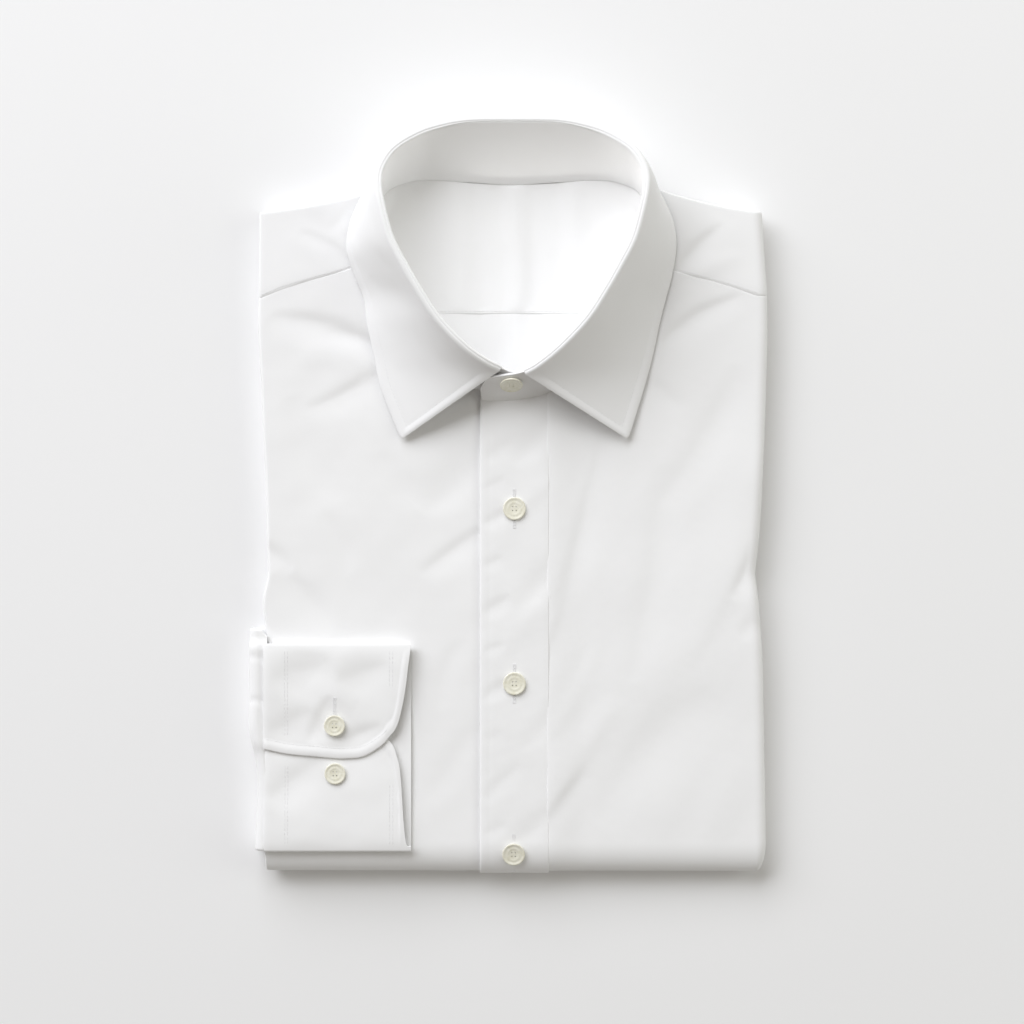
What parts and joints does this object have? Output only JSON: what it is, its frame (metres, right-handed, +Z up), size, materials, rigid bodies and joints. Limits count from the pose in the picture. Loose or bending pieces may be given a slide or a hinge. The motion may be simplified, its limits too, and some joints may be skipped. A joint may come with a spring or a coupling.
{
  "type": "folded dress shirt",
  "caption": "White dress shirt folded flat on its back, its collar buttoned and standing, with one buttoned cuff brought round onto the front.",
  "frame": {"origin": "centre of the whole shirt's footprint, on the surface it lies on", "axes": "+Z up from the surface through the front, +Y from the folded bottom edge towards the collar, +X towards the wearer's left side"},
  "size_m": [0.259, 0.3731, 0.0501],
  "materials": {
    "poplin": "matte cotton poplin",
    "fused_poplin": "matte cotton poplin, stiffened",
    "button_shell": "pearly cream shell"
  },
  "bodies": {
    "root": {"hidden_layers": "poplin", "back_panel": "poplin", "inner_yoke": "poplin", "yoke": "poplin", "front_right": "poplin", "front_left": "poplin", "placket": "poplin", "sleeve_right": "poplin", "collar_band": "fused_poplin", "collar_leaf": "fused_poplin", "cuff_right": "fused_poplin", "button_neck": "button_shell", "button_front_1": "button_shell", "button_front_2": "button_shell", "button_front_3": "button_shell", "button_cuff_1": "button_shell", "button_cuff_2": "button_shell"}
  },
  "joints": []
}
